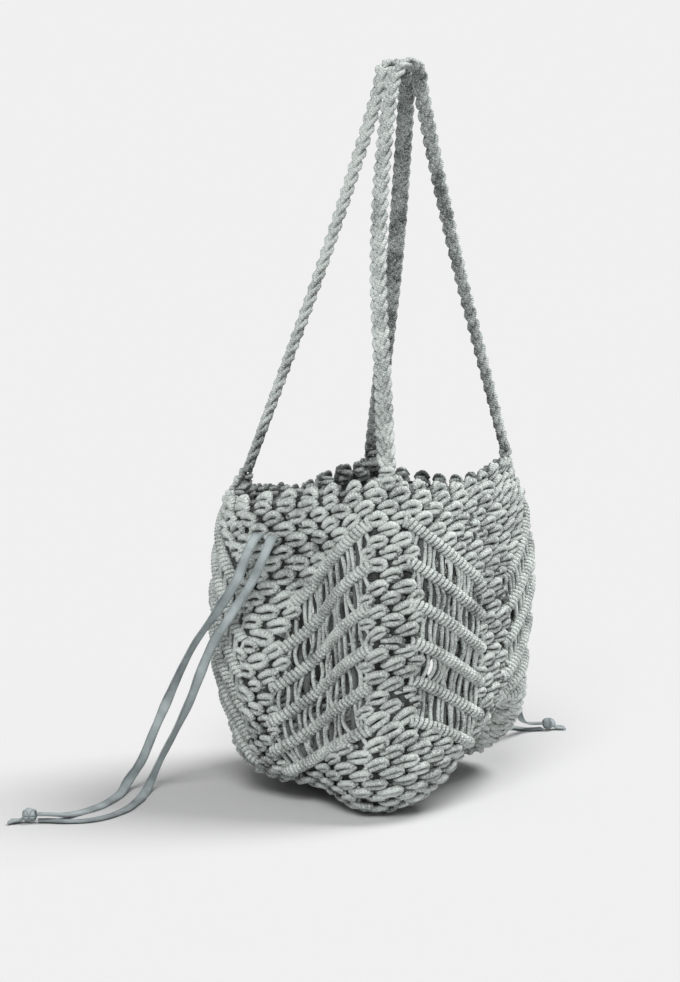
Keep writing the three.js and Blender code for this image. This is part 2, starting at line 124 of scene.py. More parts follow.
class MeshParts:
    # Collects many small meshes as arrays and joins them into one object.

    def __init__(self):
        self.points = []
        self.faces = []
        self.count = 0

    def addGrid(self, points, marks, closedAcross=True, capped=True):
        # points: (pieces, along, across, 3); marks: texture places (pieces, along, across + 1, 2)
        pieces, along, across = points.shape[:3]
        index = np.arange(pieces * along * across).reshape(pieces, along, across) + self.count
        beside = np.roll(index, -1, axis=2) if closedAcross else index[:, :, 1:]
        here = index if closedAcross else index[:, :, :-1]
        quads = np.stack([here[:, :-1], beside[:, :-1], beside[:, 1:], here[:, 1:]], axis=-1)
        corner = np.stack([marks[:, :-1, :-1], marks[:, :-1, 1:],
                           marks[:, 1:, 1:], marks[:, 1:, :-1]], axis=-2)
        self.points.append(points.reshape(-1, 3))
        self.faces.append((quads.reshape(-1, 4), corner.reshape(-1, 4, 2)))
        if capped:
            for end in (0, -1):
                ring = index[:, end, ::-1] if end == 0 else index[:, end]
                flat = np.repeat(marks[:, end, :1], across, axis=1)
                self.faces.append((ring, flat))
        self.count += points[..., 0].size

    def build(self, name, material):
        mesh = bpy.data.meshes.new(name)
        points = np.concatenate(self.points) * 0.001
        sizes = np.concatenate([np.full(len(faces), faces.shape[1]) for faces, _ in self.faces])
        corners = np.concatenate([faces.ravel() for faces, _ in self.faces])
        marks = np.concatenate([mark.reshape(-1, 2) for _, mark in self.faces])
        mesh.vertices.add(len(points))
        mesh.vertices.foreach_set("co", points.astype(np.float32).ravel())
        mesh.loops.add(len(corners))
        mesh.loops.foreach_set("vertex_index", corners.astype(np.int32))
        mesh.polygons.add(len(sizes))
        mesh.polygons.foreach_set("loop_start", (np.cumsum(sizes) - sizes).astype(np.int32))
        mesh.polygons.foreach_set("use_smooth", np.ones(len(sizes), dtype=bool))
        mesh.uv_layers.new(name="alongCord").data.foreach_set("uv", marks.astype(np.float32).ravel())
        mesh.update(calc_edges=True)
        mesh.validate()
        mesh.materials.append(material)
        piece = bpy.data.objects.new(name, mesh)
        bpy.context.scene.collection.objects.link(piece)
        print(f"{name}: {len(points)} points, {int((sizes - 2).sum())} triangles")
        return piece


def addCords(parts, paths, facing, radius, sides):
    # Round cords along paths (pieces, along, 3); facing is a direction across the cord at each point. Each
    # cord's texture starts at another place.
    pieces, along = paths.shape[:2]
    radius = np.broadcast_to(radius, (pieces, along))[..., None, None]
    ahead = tangents(paths)
    side = unit(np.cross(ahead, facing))
    up = np.cross(side, ahead)
    turn = np.linspace(0, 2 * math.pi, sides, endpoint=False)[:, None]
    ring = side[:, :, None] * np.cos(turn) + up[:, :, None] * np.sin(turn)
    points = paths[:, :, None] + ring * radius
    length = np.zeros((pieces, along))
    length[:, 1:] = np.cumsum(np.linalg.norm(np.diff(paths, axis=1), axis=2), axis=1)
    length += rng.uniform(0, 400, (pieces, 1))
    marks = np.zeros((pieces, along, sides + 1, 2))
    marks[..., 0] = length[..., None]
    marks[..., 1] = np.linspace(0, 1, sides + 1)
    parts.addGrid(points, marks)


# Shader maths: one wrapped socket, so that plain expressions add the nodes.


class Wire:
    def __init__(self, tree, socket):
        self.tree = tree
        self.socket = socket

    def maths(self, operation, first, second=None):
        node = self.tree.nodes.new("ShaderNodeMath")
        node.operation = operation
        for spot, value in enumerate((first, second)):
            if isinstance(value, Wire):
                self.tree.links.new(value.socket, node.inputs[spot])
            elif value is not None:
                node.inputs[spot].default_value = value
        return Wire(self.tree, node.outputs[0])

    def __add__(self, other):
        return self.maths("ADD", self, other)

    __radd__ = __add__

    def __sub__(self, other):
        return self.maths("SUBTRACT", self, other)

    def __rsub__(self, other):
        return self.maths("SUBTRACT", other, self)

    def __mul__(self, other):
        return self.maths("MULTIPLY", self, other)

    __rmul__ = __mul__

    def __abs__(self):
        return self.maths("ABSOLUTE", self)

    def wave(self):
        return self.maths("SINE", self)

    def node(self, kind, settings, **values):
        # Any other node. A value goes to the socket of its name, or by number to in0, in1 and so on.
        node = self.tree.nodes.new(kind)
        for name, value in settings.items():
            if name != "output":
                setattr(node, name, value)
        for name, value in values.items():
            spot = node.inputs[int(name[2:]) if name.startswith("in") else name]
            if isinstance(value, Wire):
                self.tree.links.new(value.socket, spot)
            else:
                spot.default_value = value
        return Wire(self.tree, node.outputs[settings.get("output", 0)])


def newMaterial(name):
    material = bpy.data.materials.new(name)
    material.use_nodes = True
    tree = material.node_tree
    shader = tree.nodes["Principled BSDF"]
    return material, shader, Wire(tree, shader.inputs["Roughness"])


def join(shader, wire, name):
    wire.tree.links.new(wire.socket, shader.inputs[name])


def cordPlaces(maker):
    # Places along the cord in mm, round it from 0 to 1, and in the object.
    place = maker.node("ShaderNodeUVMap", {"uv_map": "alongCord"})
    parts = maker.tree.nodes.new("ShaderNodeSeparateXYZ")
    maker.tree.links.new(place.socket, parts.inputs[0])
    along, around = [Wire(maker.tree, output) for output in parts.outputs[:2]]
    return along, around, maker.node("ShaderNodeTexCoord", {"output": "Object"})


def dress(shader, maker, finish, share, height):
    # Dark where share is 0, pale where it is 1, with a relief of this height.
    colour = maker.node("ShaderNodeMix", {"data_type": "RGBA", "clamp_factor": True, "output": 2},
                        in0=share, in6=finish["dark"], in7=finish["pale"])
    bump = maker.node("ShaderNodeBump", {}, Height=height, Strength=finish["relief"],
                      Distance=finish["reliefDepth"])
    join(shader, colour, "Base Color")
    join(shader, bump, "Normal")
    shader.inputs["Roughness"].default_value = finish["roughness"]
    shader.inputs["Sheen Weight"].default_value = finish["sheen"]


cordFinish = {
    "dark": (0.085, 0.10, 0.093, 1),
    "pale": (0.76, 0.82, 0.79, 1),
    "roughness": 0.9,
    "sheen": 0.25,
    "sheenRoughness": 0.6,
    "specular": 0.2,
    "rib": 1.6,          # mm from one rib of the knitted cord to the next
    "ribSlant": 2.2,
    "ribHeight": 0.35,
    "fuzzHeight": 1.8,
    "relief": 0.9,
    "reliefDepth": 0.0009,
    "fuzzScale": 620.0,  # spots in a metre
    "knotScale": 60.0,
    "wideScale": 9.0,
    "ribTone": 0.06,
    "fuzzTone": 1.7,
    "knotTone": 1.5,
    "wideTone": 0.7,
    "tone": 0.36,        # share of the pale colour where the cord's side faces sideways
    "wear": 0.42,        # painted light: how much paler the outward side is painted, and darker the inward side
}


def cordMaterial(name, finish):
    # Knitted cotton cord: slanted ribs along its own length, fine fuzz, a tone that changes from knot to
    # knot, and painted light: the side that faces outwards is painted paler, the side that faces in darker.
    material, shader, maker = newMaterial(name)
    along, around, objectPlace = cordPlaces(maker)
    chevron = abs((around * 4 * math.pi).wave())
    ribs = (along * (2 * math.pi / finish["rib"]) + chevron * finish["ribSlant"]).wave()
    fuzz, fromKnot, wide = [
        maker.node("ShaderNodeTexNoise", {"output": "Fac"}, Vector=objectPlace, Scale=scale, Detail=detail)
        for scale, detail in ((finish["fuzzScale"], 3), (finish["knotScale"], 2), (finish["wideScale"], 1))]
    height = ribs * finish["ribHeight"] + fuzz * finish["fuzzHeight"]
    facingOutwards = (around * 2 * math.pi).wave()     # 1 where the cord faces outwards, -1 where it faces in: the mask of the painted light and shade
    share = finish["tone"] + facingOutwards * finish["wear"] + ribs * finish["ribTone"]
    share = share + (fuzz - 0.5) * finish["fuzzTone"] + (fromKnot - 0.5) * finish["knotTone"]
    share = share + (wide - 0.5) * finish["wideTone"]
    dress(shader, maker, finish, share, height)
    shader.inputs["Sheen Roughness"].default_value = finish["sheenRoughness"]
    shader.inputs["Specular IOR Level"].default_value = finish["specular"]
    return material


tapeFinish = {
    "dark": (0.17, 0.20, 0.205, 1),
    "pale": (0.50, 0.565, 0.575, 1),
    "roughness": 0.75,
    "sheen": 0.15,
    "thread": 0.7,      # mm from one weft thread to the next
    "seam": 0.10,       # how far in from each edge the stitched line runs, as a share of the width
    "seamHalf": 0.035,  # half the width of that line, as the same share
    "stitch": 2.6,      # mm from one stitch to the next
    "toneScale": 45.0,  # spots in a metre
    "tone": 0.62,
    "threadTone": 0.06,
    "patchTone": 2.2,
    "edgeShade": 0.30,   # painted shade: how much darker the folded edges are
    "seamTone": 0.55,   # how much darker the stitched line is
    "stitchTone": 0.35,
    "threadHeight": 0.4,
    "seamHeight": 1.5,
    "stitchHeight": 1.3,
    "patchHeight": 0.8,
    "relief": 0.4,
    "reliefDepth": 0.0004,
}


def tapeMaterial(name, finish):
    # Folded cotton tape: fine cross threads, a stitched line near each edge, slight tone changes along it,
    # and painted shade that darkens it towards its folded edges.
    material, shader, maker = newMaterial(name)
    along, across, objectPlace = cordPlaces(maker)
    threads = (along * (2 * math.pi / finish["thread"])).wave()
    fromEdge = 0.5 - abs(across - 0.5)
    onSeam = maker.node("ShaderNodeMath", {"operation": "COMPARE"},
                        in0=fromEdge, in1=finish["seam"], in2=finish["seamHalf"])
    stitches = maker.node("ShaderNodeMath", {"operation": "GREATER_THAN"},
                          in0=(along * (2 * math.pi / finish["stitch"])).wave(), in1=-0.3)
    tone = maker.node("ShaderNodeTexNoise", {"output": "Fac"}, Vector=objectPlace,
                      Scale=finish["toneScale"], Detail=3)
    # Painted shade: the tape darkens towards its folded edges.
    edge = abs(across - 0.5) * 2
    share = finish["tone"] + threads * finish["threadTone"] + (tone - 0.5) * finish["patchTone"]
    share = share - edge * edge * edge * finish["edgeShade"]
    share = share - onSeam * finish["seamTone"] + onSeam * stitches * finish["stitchTone"]
    height = threads * finish["threadHeight"] - onSeam * finish["seamHeight"]
    height = height + onSeam * stitches * finish["stitchHeight"] + tone * finish["patchHeight"]
    dress(shader, maker, finish, share, height)
    return material


bodyCord = cordMaterial("knottedCord", cordFinish)
# Inside, the painted light is turned round: the side that faces into the bag is painted paler, the side that
# faces out darker.
innerCord = cordMaterial("innerCord", {**cordFinish, "wear": -0.42})
# The layer behind the knots: the same cord painted near black, as painted shade in the gaps between the
# knots.
shadePaintedCord = cordMaterial("shadePaintedCord", {**cordFinish, "dark": (0.02, 0.024, 0.023, 1),
                                           "pale": (0.07, 0.08, 0.077, 1)})
# The single cords deep in the ladders: the same cord painted darker, as painted shade.
shadedCord = cordMaterial("shadedCord", {**cordFinish, "dark": (0.04, 0.048, 0.045, 1),
                                         "pale": (0.15, 0.17, 0.164, 1)})
# The plait is paler overall, with weaker painted light on its outward side.
strapCord = cordMaterial("plaitedCord", {**cordFinish, "tone": 0.54, "wear": 0.22})
tape = tapeMaterial("foldedTape", tapeFinish)

# The tape tails come first. Their routes are those of the CAD model, from the middle of the body's base.
baseMiddle = np.array([-12.0, 12.0, -586.0])

ties = {
    "width": 8.0,
    "thickness": 1.6,
    "knotSize": 12.0,
    "endLength": 13.0,
    "aboveGround": 0.7,
    "routeStep": 4.0,
    "ripple": 0.05,      # how much the width comes and goes
    "rippleTurn": 0.7,
    # the two turns of each knot: lean, height, width, shift
    "turns": [(0.5, 0.40, 0.42, -0.12), (-0.45, 0.36, 0.44, 0.14)],
    "turnWidth": 0.8,
    "turnThickness": 1.6,
    # its two short ends: how far aside, how long
    "ends": [(0.30, 1.0), (-0.34, 0.86)],
    "routes": {
        "tie_left_outer": [
            (-126.2, 13.2, 217), (-132.4, 10.3, 216), (-140, 11, 206.7), (-146, 18, 183.1),
            (-150, 38, 154.3), (-153, 58, 129.6), (-154, 72, 109), (-155, 90, 78.2),
            (-156, 106, 49.4), (-158, 119, 23.7), (-167, 125, 8), (-183, 116, 2.2), (-206, 103, 1.6),
            (-229, 94, 1.6), (-253, 91, 1.8), (-269, 88, 4.2), (-281.2, 89.5, 6.6), (-287.2, 94.8, 6.9)],
        "tie_left_inner": [
            (-121.4, 1.6, 216), (-126.8, -1.1, 214.9), (-134, -2, 205.7), (-140, 7, 182), (-142, 30, 152.2),
            (-142, 50, 127.5), (-141, 64, 104.9), (-141, 79, 76.1), (-143, 93, 51.4), (-148, 107, 24.7),
            (-156, 110, 8), (-171, 101, 2), (-193, 86, 1.6), (-216, 73, 1.6), (-242, 66, 1.6),
            (-262, 69, 1.6), (-274, 79, 1.7), (-281.2, 89.5, 2), (-287.2, 94.8, 2.1)],
        "tie_right_outer": [
            (117.5, -6, 212.7), (123.5, -6.2, 212.3), (133, -6, 204.7), (143, -4, 189.2), (151, -2, 170.7),
            (160, 2, 144), (171, 7, 111.1), (183, 11, 80.2), (196, 16, 52.4), (210, 21, 30.9),
            (224, 27, 15.4), (236, 31, 9), (245.6, 29.2, 7), (252.5, 25.2, 6.9)],
        "tie_right_inner": [
            (117.5, 7, 212.7), (123.5, 7.4, 212.3), (132, 10, 204.7), (140, 16, 189.2), (149, 27, 162.5),
            (161, 41, 125.5), (175, 54, 86.4), (192, 64, 49.4), (208, 69, 19.5), (223, 66, 5),
            (234, 57, 1.6), (239, 46, 1.6), (241, 36, 1.7), (245.6, 29.2, 2), (252.5, 25.2, 2.1)],
    },
    # share of the way along, degrees that the tape is turned out of its level lie
    "twists": {
        "tie_left_outer": [
            (0, 0), (0.08, 0), (0.26, 73), (0.38, 70), (0.48, 5), (0.57, -8), (0.63, 50), (0.70, 0), (1, 0)],
        "tie_left_inner": [
            (0, 10), (0.15, -12), (0.30, 8), (0.40, 45), (0.50, 76), (0.60, 72), (0.70, 0), (1, 0)],
        "tie_right_outer": [(0, 0), (0.3, 35), (0.6, 0), (1, 0)],
        "tie_right_inner": [(0, 0), (0.4, -40), (0.7, 0), (1, 0)],
    },
    # middle of each knot, where its short ends point, its tails
    "knots": {
        "tie_left_knot": ((-292, 99, 6), (-0.75, 0.66), ("tie_left_outer", "tie_left_inner")),
        "tie_right_knot": ((258, 22, 6), (0.86, -0.5), ("tie_right_outer", "tie_right_inner")),
    },
}


def flatDirections(path):
    # Across the tape at each point: level where it ends, carried back along the route without twisting.
    ahead = tangents(path)
    flat = np.zeros_like(path)
    across = np.cross(ahead[-1], (0, 0, 1))
    for i in range(len(path) - 1, -1, -1):
        across = across - ahead[i] * np.dot(across, ahead[i])
        across = across / np.linalg.norm(across)
        flat[i] = across
    return flat


# Section of the folded tape, as shares of its width and thickness: two layers, a soft fold at each edge.
tapeSection = np.array([
    (-0.5, 0.0), (-0.47, 0.38), (-0.40, 0.5), (-0.36, 0.36), (-0.2, 0.46), (0.0, 0.5), (0.2, 0.46),
    (0.36, 0.36), (0.40, 0.5), (0.47, 0.38), (0.5, 0.0), (0.47, -0.38), (0.40, -0.5), (0.36, -0.36),
    (0.2, -0.46), (0.0, -0.5), (-0.2, -0.46), (-0.36, -0.36), (-0.40, -0.5), (-0.47, -0.38)])


def addTape(parts, path, flat, width, thickness):
    # flat points across the tape at each point of the path.
    ahead = tangents(path)
    through = np.cross(flat, ahead)
    across = tapeSection[:, 0][None, :, None] * np.asarray(width).reshape(-1, 1, 1)
    depth = tapeSection[:, 1][None, :, None] * thickness
    points = path[:, None] + flat[:, None] * across + through[:, None] * depth
    marks = np.zeros((1, len(path), len(tapeSection) + 1, 2))
    marks[0, :, :, 0] = lengthAlong(path)[:, None]
    marks[0, :, :, 1] = np.append(tapeSection[:, 0], tapeSection[0, 0]) + 0.5
    parts.addGrid(points[None], marks)


def addTie(name, route):
    path = smoothCurve(np.array(route) + baseMiddle, ties["routeStep"])
    flat = flatDirections(path)
    twist = np.array(ties["twists"][name])
    twist = np.radians(np.interp(np.linspace(0, 1, len(path)), twist[:, 0], twist[:, 1]))[:, None]
    flat = flat * np.cos(twist) + np.cross(flat, tangents(path)) * np.sin(twist)
    ripple = 1 + ties["ripple"] * np.sin(np.arange(len(path)) * ties["rippleTurn"] + len(name))
    parts = MeshParts()
    addTape(parts, path, flat, ties["width"] * ripple, ties["thickness"])
    piece = parts.build(name + "_tape", tape)
    length = np.linalg.norm(np.diff(path, axis=0), axis=1).sum() / 1000
    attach(piece, "root")
    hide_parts(name)
    return piece, path / 1000, length


def addTieKnot(name, place, aim):
    # Two turns of the tape pulled tight over each other, and its two short ends.
    centre = np.array(place) + baseMiddle
    forward = unit(np.array((aim[0], aim[1], 0.0)))
    sideways = np.array((-forward[1], forward[0], 0.0))
    up = np.array((0.0, 0.0, 1.0))
    size = ties["knotSize"]
    parts = MeshParts()
    turn = np.linspace(0, 2 * math.pi, 25)
    for lean, tall, wide, shift in ties["turns"]:
        ring = (centre + up * (tall * 0.1 * size)
                + np.cos(turn)[:, None] * sideways * wide * size
                + np.sin(turn)[:, None] * up * tall * size
                + (np.cos(turn) * lean + shift)[:, None] * forward * size * 0.5)
        outwardsHere = unit(ring - centre)
        ring = centre + (ring - centre) * 0.8
        flat = unit(np.cross(tangents(ring), outwardsHere))
        addTape(parts, ring, flat, ties["width"] * ties["turnWidth"],
                ties["thickness"] * ties["turnThickness"])
    ground = ties["aboveGround"] + ties["thickness"] / 2 - place[2]
    for spread, reach in ties["ends"]:
        share = np.linspace(0, 1, 9)[:, None]
        end = (centre + forward * (size * 0.3 + share * ties["endLength"] * reach)
               + sideways * spread * share * size + up * between(-1.5, ground, np.minimum(share * 3, 1)))
        end += up * np.sin(share * math.pi) * 1.2 * (1 if spread > 0 else 0.4)
        flat = np.repeat(sideways[None], len(end), axis=0)
        addTape(parts, end, flat, ties["width"] * between(0.62, 0.9, share[:, 0]), ties["thickness"])
    piece = parts.build(name + "_tape", tape)
    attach(piece, "root")
    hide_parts(name)
    return piece


tails = {name: addTie(name, route) for name, route in ties["routes"].items()}
for knotName, (place, aim, itsTails) in ties["knots"].items():
    knotPiece = addTieKnot(knotName, place, aim)
    for tailName in itsTails:
        piece, path, length = tails[tailName]
print("ties done")

# The body: the same surface as the CAD model, in knots round from the front left strap and millimetres down
# along the wall from the foot of the straps.
body = {
    "height": 272.0,
    "levelHeight": 264.0,
    "reach": 131.0,
    "rimReach": 108.0,
    "wall": 7.0,
    "baseRounding": 40.0,
    "knotsAround": 40,
    "knotsPerSide": 10,
    "knotsPerEighth": 5,
    "frontLeftAngle": -135.0,
    # level above the base, share of the reach
    "profile": [(0.0, 0.93), (0.20, 0.95), (0.35, 0.985), (0.50, 1.0), (0.65, 0.99), (0.80, 0.955),
                (0.92, 0.90), (1.0, 108 / 131)],
    # knot, level, across, tall, depth
    "folds": [
        (36.3, 0.58, 1.6, 0.19, -0.27), (37.0, 0.14, 1.0, 0.24, -0.15), (31.8, 0.55, 3.0, 0.34, 0.07),
        (33.0, 0.90, 1.4, 0.16, 0.08), (0.3, 0.56, 2.2, 0.14, 0.07), (0.6, 0.36, 2.0, 0.06, -0.07),
        (39.6, 0.14, 2.4, 0.14, 0.20), (5.0, 0.62, 2.0, 0.30, -0.05), (10.0, 0.40, 2.8, 0.16, -0.065),
        (9.5, 0.08, 2.6, 0.12, -0.04), (15.0, 0.65, 2.2, 0.28, -0.07), (12.6, 0.22, 2.0, 0.10, 0.06),
        (25.5, 0.80, 2.6, 0.30, -0.10), (30.5, 0.10, 2.6, 0.12, -0.075)],
    # knot, drop
    "rimCurve": [(0, 0), (1.5, 3.5), (3, 6), (4.5, 4), (6.5, -4), (8, -6), (10, -4.5), (12, 3), (14, 13),
                 (16, 18), (18, 15), (20, 5), (22, 13), (24, 26), (26, 22), (28, 20), (30, 12), (31.5, 18),
                 (33, 17), (35, 9), (36.5, 6), (38, 3.5), (40, 0)],
    # knot, down, across, tall, knots aside, mm lower
    "slips": [(35.6, 165, 2.2, 75, -1.1, 34), (0, 160, 2.5, 80, 0.3, 0)],
    "liftEnd": 0.8,
    # knot, across, lift
    "footLifts": [(7.2, 2.8, 0.27), (20.0, 4.0, 0.10), (29.0, 2.5, 0.05), (34.8, 1.9, 0.05)],
}


def fromTable(table, at):
    # A smooth curve through the table's rows.
    places, values = np.array(table).T
    last = len(places) - 1
    row = np.clip(np.searchsorted(places, at) - 1, 0, last - 1)
    share = np.clip((at - places[row]) / (places[row + 1] - places[row]), 0, 1)
    start, end = values[row], values[row + 1]
    slopeStart = (end - values[np.maximum(row - 1, 0)]) / 2
    slopeEnd = (values[np.minimum(row + 2, last)] - start) / 2
    return hermite(start, end, slopeStart, slopeEnd, share)


def knotsBetween(a, b):
    apart = np.mod(a - b, body["knotsAround"])
    return np.minimum(apart, body["knotsAround"] - apart)


def rimDrop(knot):
    return fromTable(body["rimCurve"], np.mod(knot, body["knotsAround"]))


def reachAt(knot, height):
    level = height / body["levelHeight"]
    reach = fromTable(body["profile"], level)
    for place, itsLevel, across, tall, depth in body["folds"]:
        reach = reach + depth * bell(knotsBetween(knot, place) / across) * bell((level - itsLevel) / tall)
    return reach * body["reach"]


def footLift(knot):
    lift = 0
    for place, across, itsLift in body["footLifts"]:
        lift = lift + itsLift * bell(knotsBetween(knot, place) / across)
    return lift * body["levelHeight"]


def slipped(knot, down):
    # The slack cloth has slipped round and down in places.
    aside, lower = knot, down
    for place, itsDown, across, tall, itsAside, itsLower in body["slips"]:
        share = bell(knotsBetween(knot, place) / across) * bell((down - itsDown) / tall)
        aside = aside + itsAside * share
        lower = lower + itsLower * share
    return aside, lower


def outerPoint(knot, down):
    knot, down = slipped(knot, down)
    rounding = body["baseRounding"]
    lift = footLift(knot)
    straight = body["height"] - rounding - lift
    quarter = rounding * math.pi / 2
    turn = np.clip(down - straight, 0, quarter) / rounding
    inwards = np.maximum(down - straight - quarter, 0) / body["rimReach"]
    reach = reachAt(knot, np.maximum(body["height"] - down, rounding + lift))
    reach = (reach - rounding * (1 - np.cos(turn))) * (1 - inwards)
    bent = rounding * (1 - np.sin(turn)) + lift * (1 - smoothStep(inwards, 0, body["liftEnd"]))
    height = np.where(down > straight, bent, body["height"] - down)
    angle = np.radians(body["frontLeftAngle"] + knot * 360 / body["knotsAround"])
    return np.stack([reach * np.cos(angle), reach * np.sin(angle), height], axis=-1) + baseMiddle


def outwards(knot, down):
    alongRound = outerPoint(knot + 0.25, down) - outerPoint(knot - 0.25, down)
    alongWall = outerPoint(knot, down + 1) - outerPoint(knot, down - 1)
    return unit(np.cross(alongWall, alongRound))


def onWall(knot, down, out):
    # out is measured from the middle of the wall
    knot, down, out = np.broadcast_arrays(knot, down, out)
    return outerPoint(knot, down) + outwards(knot, down) * (out - body["wall"] / 2)[..., None]


pattern = {
    "rowStep": 8.4,          # mm from one row of knots to the next
    "firstRow": 19.5,        # below the foot of the straps
    "settled": 110.0,        # where the rows stop following the sagging rim
    "barCount": 6,
    "firstBar": 34.0,
    "barSpacingHigh": 30.5,
    "barSpacingLow": 26.5,
    "barDrop": 54.0,
    "barWidth": 10.0,
    "ladderFrom": 1.05,      # knots from the strap
    "ladderTo": 3.95,
    "columnHalf": 0.6,       # knots from a strap, or from midway between two, to the edge of a column
    "barGap": 1.5,           # mm between a bar and the knots beside it
    "barLap": 2.0,           # mm that the first knots below the last bar may reach under it
    "edgePlace": 0.87,       # where the smaller knots at that edge stand
    "roundBase": 0.38,       # share of the base that the rows of the wall cover, from its edge inwards
}


def sidewaysOf(knot):
    # knots to the nearest strap
    inSide = np.mod(knot, body["knotsPerSide"])
    return np.minimum(inSide, body["knotsPerSide"] - inSide)


def fromEighth(eighth, sideways):
    # The knot at this way along an eighth of the round; every second eighth is mirrored.
    width = body["knotsPerEighth"]
    return eighth * width + (width - sideways if eighth % 2 == 1 else sideways)


def barCourse(sideways):
    straight = np.clip((sideways - 0.8) / (body["knotsPerEighth"] - 1.6), 0, 1)
    return smoothStep(sideways, 0, body["knotsPerEighth"]) * 0.3 + straight * 0.7


def barTop(bar, sideways):
    high = pattern["firstBar"] + bar * pattern["barSpacingHigh"]
    low = pattern["firstBar"] + pattern["barDrop"] + bar * pattern["barSpacingLow"]
    return between(high, low, barCourse(sideways))


def rowDown(row, knot):
    below = pattern["firstRow"] + pattern["rowStep"] * row
    return below + rimDrop(knot) * np.clip(1 - below / pattern["settled"], 0, 1)


def wallEndAt(knot):
    rounding = body["baseRounding"]
    return body["height"] - rounding - footLift(knot) + rounding * math.pi / 2


def clearOfBars(down, sideways):
    clear = np.ones(len(down), dtype=bool)
    for bar in range(pattern["barCount"]):
        top = barTop(bar, sideways)
        clear &= (down < top - pattern["barGap"]) | (down > top + pattern["barWidth"] + pattern["barGap"])
    return clear


def knotPlaces():
    # Every second row stands half a knot aside. Ladders and bars leave only the columns below and between
    # the straps.
    places = []
    for row in range(-1, 40):
        knot = np.arange(body["knotsAround"]) + (0.5 if row % 2 == 0 else 0.0)
        if row == -1:
            knot = knot[sidewaysOf(knot) < 0.1]
        down = rowDown(row, knot)
        sideways = sidewaysOf(knot)
        above = down + pattern["barGap"] < barTop(0, sideways)
        below = down + pattern["barLap"] > barTop(pattern["barCount"] - 1, sideways) + pattern["barWidth"]
        column = ((sideways < pattern["columnHalf"])
                  | (sideways > body["knotsPerEighth"] - pattern["columnHalf"]))
        edge = ((np.abs(sideways - 1) < 0.1) | (np.abs(sideways - 4) < 0.1)) & ~above & ~below
        edge &= clearOfBars(down, sideways)
        inEighth = np.round(knot / body["knotsPerEighth"]) * body["knotsPerEighth"]
        knot = np.where(edge, inEighth + np.sign(knot - inEighth) * pattern["edgePlace"], knot)
        size = np.where(edge, knotShape["edgeSize"], 1.0)
        inwards = np.clip(down - wallEndAt(knot), 0, None) / body["rimReach"]
        size = size * (1 - inwards)
        kept = (above | below | column | edge) & (inwards < pattern["roundBase"])
        places.append(np.stack([knot[kept], down[kept], size[kept]], axis=1))
    return np.concatenate(places)


# One knot as seen from outside: a cord that comes up on the left, runs to the right, turns in a round bump
# and runs back above itself. Millimetres to the right, up and out from the middle of the wall.
knotShape = {
    "line": [(-8.2, -5.4, -3.0), (-5.6, -4.5, -0.8), (-1.8, -3.4, 0.8), (2.2, -2.8, 1.8), (5.4, -1.9, 1.8),
             (6.6, 0.5, 1.5), (5.0, 2.8, 2.8), (1.6, 3.1, 3.6), (-2.2, 2.0, 3.0), (-5.6, 0.3, 0.8),
             (-8.0, -1.2, -2.8)],
    "radius": [1.6, 2.3, 2.55, 2.55, 2.65, 2.9, 2.9, 2.8, 2.6, 2.35, 1.6],
    "sides": 6,
    "pitch": 19.0,       # the width between knots for which this is drawn
    "edgeSize": 0.7,     # of the knots at the edges of the columns
    "lean": 0.02,
    "leanNoise": 0.13,   # noise: how much one knot differs from the next
    "sizeNoise": 0.07,
    "asideNoise": 0.4,
    "upNoise": 0.35,
    "outNoise": 0.6,
    "upWobble": 0.22,    # wobble: how uneven one cord is along its way
    "outWobble": 0.25,
    "stretch": (0.8, 1.6),
}


def addKnots(parts, places, inside=False):
    # places: knot, down and size of each
    line = np.array(knotShape["line"])
    radius = np.array(knotShape["radius"])
    sides = knotShape["sides"]
    if inside:
        line, radius, sides = line[::2] * (-1, 1, -1), radius[::2] * 1.05, 5
    each = (len(places), 1)
    lean = rng.normal(knotShape["lean"], knotShape["leanNoise"], each)
    size = rng.normal(1.0, knotShape["sizeNoise"], each) * places[:, 2:]
    across = (line[:, 0] * np.cos(lean) - line[:, 1] * np.sin(lean)) * size
    across = across + rng.normal(0, knotShape["asideNoise"], each)
    upwards = (line[:, 0] * np.sin(lean) + line[:, 1] * np.cos(lean)) * size ** 0.5
    upwards = upwards + rng.normal(0, knotShape["upNoise"], each)
    upwards = upwards + rng.normal(0, knotShape["upWobble"], upwards.shape)
    out = line[:, 2] + rng.normal(0, knotShape["outNoise"], each)
    out = out + rng.normal(0, knotShape["outWobble"], upwards.shape)
    knot = places[:, :1] + across / knotShape["pitch"]
    down = places[:, 1:2] - upwards
    paths = onWall(knot, down, out)
    spot, below = places[:, 0], places[:, 1]
    tall = np.linalg.norm(outerPoint(spot, below + 4) - outerPoint(spot, below - 4), axis=1) / 8
    # thicker where the cloth is pulled long
    thick = (np.clip(tall, *knotShape["stretch"]) ** 0.8)[:, None]
    addCords(parts, paths, outwards(knot, down), radius * size ** 0.5 * thick, sides)


knots = knotPlaces()
print(f"knots on the wall: {len(knots)}")

outerKnots = MeshParts()
addKnots(outerKnots, knots)
innerKnots = MeshParts()
addKnots(innerKnots, knots, inside=True)


def onBase(x, y, out):
    knot = (np.degrees(np.arctan2(y, x)) - body["frontLeftAngle"]) / 360 * body["knotsAround"]
    start = wallEndAt(knot)
    footReach = np.linalg.norm((outerPoint(knot, start) - baseMiddle)[..., :2], axis=-1)
    inwards = np.clip(1 - np.hypot(x, y) / footReach, 0, 0.98)
    height = footLift(knot) * (1 - smoothStep(inwards, 0, body["liftEnd"])) + body["wall"] / 2 - out
    return np.stack([x, y, height], axis=-1) + baseMiddle, footReach


